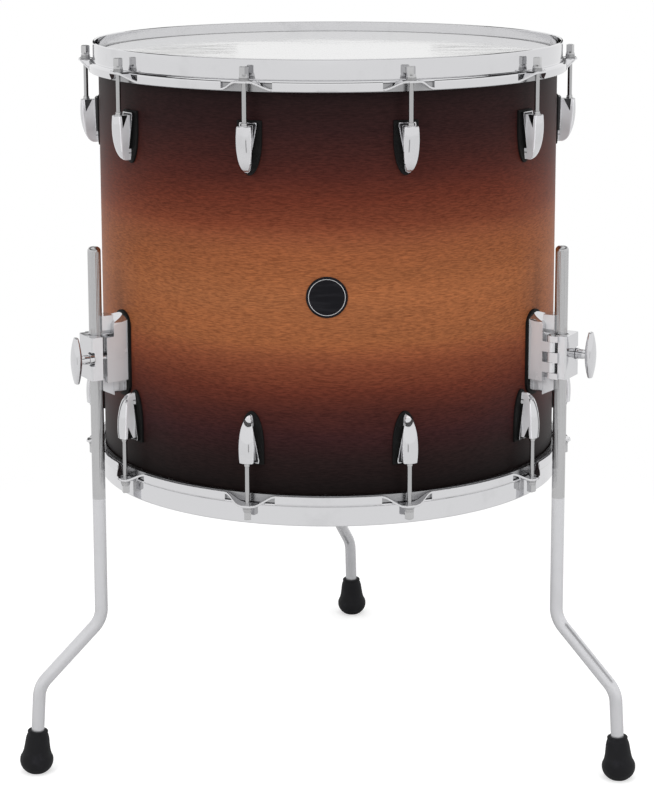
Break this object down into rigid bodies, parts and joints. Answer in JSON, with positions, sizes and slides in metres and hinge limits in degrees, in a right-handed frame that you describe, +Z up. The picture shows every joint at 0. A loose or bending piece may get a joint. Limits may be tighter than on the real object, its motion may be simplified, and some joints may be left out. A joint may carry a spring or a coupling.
{
  "type": "floor tom drum",
  "caption": "Floor tom: a wooden two-headed drum with chromed hoops, lugs and tension rods, standing on bent steel legs in hinged clamp brackets.",
  "frame": {"origin": "on the floor, straight under the drum's axis", "axes": "+Z up along the drum's axis; -Y is the front, where the badge is; +X is to the right seen from the front"},
  "size_m": [0.6068, 0.5738, 0.7144],
  "materials": {
    "shell_wood": "satin tobacco sunburst over quarter-cut veneer, amber-brown in the middle and near black towards both ends",
    "badge_black": "bare glossy black disc with a thin bright rim",
    "bright_chrome": "bright chrome plate on pressed steel",
    "cast_chrome": "bright chrome plate on die castings",
    "leg_chrome": "bright chrome plate on solid steel rod",
    "rod_steel": "chrome-plated steel",
    "zinc_steel": "zinc-plated screws and washers inside the shell",
    "nut_brass": "nickel-plated brass",
    "flesh_aluminium": "plain aluminium channel",
    "head_film": "smooth white polyester film",
    "gasket_rubber": "thin black gasket",
    "foot_rubber": "moulded black rubber, slightly worn"
  },
  "bodies": {
    "drum": {"shell": "shell_wood", "badge": "badge_black", "vent_grommet": "bright_chrome", "lug_screws": "zinc_steel", "lug_screw_washers": "zinc_steel", "bracket_gaskets": "gasket_rubber", "bracket_screws": "zinc_steel", "bracket_screw_washers": "zinc_steel", "top_head": "head_film", "top_flesh_hoop": "flesh_aluminium", "top_hoop": "bright_chrome", "top_lugs": "cast_chrome", "top_lug_gaskets": "gasket_rubber", "top_swivel_nuts": "nut_brass", "top_rod_washers": "rod_steel", "bottom_head": "head_film", "bottom_flesh_hoop": "flesh_aluminium", "bottom_hoop": "bright_chrome", "bottom_lugs": "cast_chrome", "bottom_lug_gaskets": "gasket_rubber", "bottom_swivel_nuts": "nut_brass", "bottom_rod_washers": "rod_steel", "bracket_base_left": "cast_chrome", "hinge_pin_left": "rod_steel", "bracket_base_right": "cast_chrome", "hinge_pin_right": "rod_steel", "bracket_base_back": "cast_chrome", "hinge_pin_back": "rod_steel"},
    "top_tension_rod_1": {"top_rod_1": "rod_steel"},
    "top_tension_rod_2": {"top_rod_2": "rod_steel"},
    "top_tension_rod_3": {"top_rod_3": "rod_steel"},
    "top_tension_rod_4": {"top_rod_4": "rod_steel"},
    "top_tension_rod_5": {"top_rod_5": "rod_steel"},
    "top_tension_rod_6": {"top_rod_6": "rod_steel"},
    "top_tension_rod_7": {"top_rod_7": "rod_steel"},
    "top_tension_rod_8": {"top_rod_8": "rod_steel"},
    "top_tension_rod_9": {"top_rod_9": "rod_steel"},
    "top_tension_rod_10": {"top_rod_10": "rod_steel"},
    "bottom_tension_rod_1": {"bottom_rod_1": "rod_steel"},
    "bottom_tension_rod_2": {"bottom_rod_2": "rod_steel"},
    "bottom_tension_rod_3": {"bottom_rod_3": "rod_steel"},
    "bottom_tension_rod_4": {"bottom_rod_4": "rod_steel"},
    "bottom_tension_rod_5": {"bottom_rod_5": "rod_steel"},
    "bottom_tension_rod_6": {"bottom_rod_6": "rod_steel"},
    "bottom_tension_rod_7": {"bottom_rod_7": "rod_steel"},
    "bottom_tension_rod_8": {"bottom_rod_8": "rod_steel"},
    "bottom_tension_rod_9": {"bottom_rod_9": "rod_steel"},
    "bottom_tension_rod_10": {"bottom_rod_10": "rod_steel"},
    "gate_left": {"bracket_gate_left": "cast_chrome"},
    "wing_left": {"wing_screw_left": "cast_chrome"},
    "leg_assembly_left": {"leg_left": "leg_chrome", "foot_left": "foot_rubber"},
    "gate_right": {"bracket_gate_right": "cast_chrome"},
    "wing_right": {"wing_screw_right": "cast_chrome"},
    "leg_assembly_right": {"leg_right": "leg_chrome", "foot_right": "foot_rubber"},
    "gate_back": {"bracket_gate_back": "cast_chrome"},
    "wing_back": {"wing_screw_back": "cast_chrome"},
    "leg_assembly_back": {"leg_back": "leg_chrome", "foot_back": "foot_rubber"}
  },
  "joints": [
    {"name": "top_rod_1_turn", "type": "hinge", "parent": "drum", "child": "top_tension_rod_1", "pos_m": [0.07497, -0.23073, 0.66], "axis": [0, 0, 1], "range_deg": [-180, 1080]},
    {"name": "top_rod_2_turn", "type": "hinge", "parent": "drum", "child": "top_tension_rod_2", "pos_m": [0.19627, -0.1426, 0.66], "axis": [0, 0, 1], "range_deg": [-180, 1080]},
    {"name": "top_rod_3_turn", "type": "hinge", "parent": "drum", "child": "top_tension_rod_3", "pos_m": [0.2426, 0, 0.66], "axis": [0, 0, 1], "range_deg": [-180, 1080]},
    {"name": "top_rod_4_turn", "type": "hinge", "parent": "drum", "child": "top_tension_rod_4", "pos_m": [0.19627, 0.1426, 0.66], "axis": [0, 0, 1], "range_deg": [-180, 1080]},
    {"name": "top_rod_5_turn", "type": "hinge", "parent": "drum", "child": "top_tension_rod_5", "pos_m": [0.07497, 0.23073, 0.66], "axis": [0, 0, 1], "range_deg": [-180, 1080]},
    {"name": "top_rod_6_turn", "type": "hinge", "parent": "drum", "child": "top_tension_rod_6", "pos_m": [-0.07497, 0.23073, 0.66], "axis": [0, 0, 1], "range_deg": [-180, 1080]},
    {"name": "top_rod_7_turn", "type": "hinge", "parent": "drum", "child": "top_tension_rod_7", "pos_m": [-0.19627, 0.1426, 0.66], "axis": [0, 0, 1], "range_deg": [-180, 1080]},
    {"name": "top_rod_8_turn", "type": "hinge", "parent": "drum", "child": "top_tension_rod_8", "pos_m": [-0.2426, 0, 0.66], "axis": [0, 0, 1], "range_deg": [-180, 1080]},
    {"name": "top_rod_9_turn", "type": "hinge", "parent": "drum", "child": "top_tension_rod_9", "pos_m": [-0.19627, -0.1426, 0.66], "axis": [0, 0, 1], "range_deg": [-180, 1080]},
    {"name": "top_rod_10_turn", "type": "hinge", "parent": "drum", "child": "top_tension_rod_10", "pos_m": [-0.07497, -0.23073, 0.66], "axis": [0, 0, 1], "range_deg": [-180, 1080]},
    {"name": "bottom_rod_1_turn", "type": "hinge", "parent": "drum", "child": "bottom_tension_rod_1", "pos_m": [0.07497, -0.23073, 0.3352], "axis": [0, 0, -1], "range_deg": [-180, 1080]},
    {"name": "bottom_rod_2_turn", "type": "hinge", "parent": "drum", "child": "bottom_tension_rod_2", "pos_m": [0.19627, -0.1426, 0.3352], "axis": [0, 0, -1], "range_deg": [-180, 1080]},
    {"name": "bottom_rod_3_turn", "type": "hinge", "parent": "drum", "child": "bottom_tension_rod_3", "pos_m": [0.2426, 0, 0.3352], "axis": [0, 0, -1], "range_deg": [-180, 1080]},
    {"name": "bottom_rod_4_turn", "type": "hinge", "parent": "drum", "child": "bottom_tension_rod_4", "pos_m": [0.19627, 0.1426, 0.3352], "axis": [0, 0, -1], "range_deg": [-180, 1080]},
    {"name": "bottom_rod_5_turn", "type": "hinge", "parent": "drum", "child": "bottom_tension_rod_5", "pos_m": [0.07497, 0.23073, 0.3352], "axis": [0, 0, -1], "range_deg": [-180, 1080]},
    {"name": "bottom_rod_6_turn", "type": "hinge", "parent": "drum", "child": "bottom_tension_rod_6", "pos_m": [-0.07497, 0.23073, 0.3352], "axis": [0, 0, -1], "range_deg": [-180, 1080]},
    {"name": "bottom_rod_7_turn", "type": "hinge", "parent": "drum", "child": "bottom_tension_rod_7", "pos_m": [-0.19627, 0.1426, 0.3352], "axis": [0, 0, -1], "range_deg": [-180, 1080]},
    {"name": "bottom_rod_8_turn", "type": "hinge", "parent": "drum", "child": "bottom_tension_rod_8", "pos_m": [-0.2426, 0, 0.3352], "axis": [0, 0, -1], "range_deg": [-180, 1080]},
    {"name": "bottom_rod_9_turn", "type": "hinge", "parent": "drum", "child": "bottom_tension_rod_9", "pos_m": [-0.19627, -0.1426, 0.3352], "axis": [0, 0, -1], "range_deg": [-180, 1080]},
    {"name": "bottom_rod_10_turn", "type": "hinge", "parent": "drum", "child": "bottom_tension_rod_10", "pos_m": [-0.07497, -0.23073, 0.3352], "axis": [0, 0, -1], "range_deg": [-180, 1080]},
    {"name": "gate_left_hinge", "type": "hinge", "parent": "drum", "child": "gate_left", "pos_m": [-0.2264, -0.11686, 0.4198], "axis": [0, 0, -1], "range_deg": [0, 3.5]},
    {"name": "wing_left_turn", "type": "hinge", "parent": "gate_left", "child": "wing_left", "pos_m": [-0.22524, -0.14447, 0.4198], "axis": [-0.866, -0.5, 0], "range_deg": [0, 420]},
    {"name": "leg_left_slide", "type": "slide", "parent": "drum", "child": "leg_assembly_left", "axis": [0, 0, 1], "range_m": [-0.06, 0.12]},
    {"name": "gate_right_hinge", "type": "hinge", "parent": "drum", "child": "gate_right", "pos_m": [0.2144, -0.13764, 0.4198], "axis": [0, 0, -1], "range_deg": [0, 3.5]},
    {"name": "wing_right_turn", "type": "hinge", "parent": "gate_right", "child": "wing_right", "pos_m": [0.23774, -0.12283, 0.4198], "axis": [0.866, -0.5, 0], "range_deg": [0, 420]},
    {"name": "leg_right_slide", "type": "slide", "parent": "drum", "child": "leg_assembly_right", "axis": [0, 0, 1], "range_m": [-0.06, 0.12]},
    {"name": "gate_back_hinge", "type": "hinge", "parent": "drum", "child": "gate_back", "pos_m": [0.012, 0.2545, 0.4198], "axis": [0, 0, -1], "range_deg": [0, 3.5]},
    {"name": "wing_back_turn", "type": "hinge", "parent": "gate_back", "child": "wing_back", "pos_m": [-0.0125, 0.2673, 0.4198], "axis": [0, 1, 0], "range_deg": [0, 420]},
    {"name": "leg_back_slide", "type": "slide", "parent": "drum", "child": "leg_assembly_back", "axis": [0, 0, 1], "range_m": [-0.06, 0.12]}
  ],
  "couplings": [
    {"joint": "gate_left_hinge", "follows": "wing_left_turn", "ratio": 0.00833},
    {"joint": "gate_right_hinge", "follows": "wing_right_turn", "ratio": 0.00833},
    {"joint": "gate_back_hinge", "follows": "wing_back_turn", "ratio": 0.00833}
  ]
}
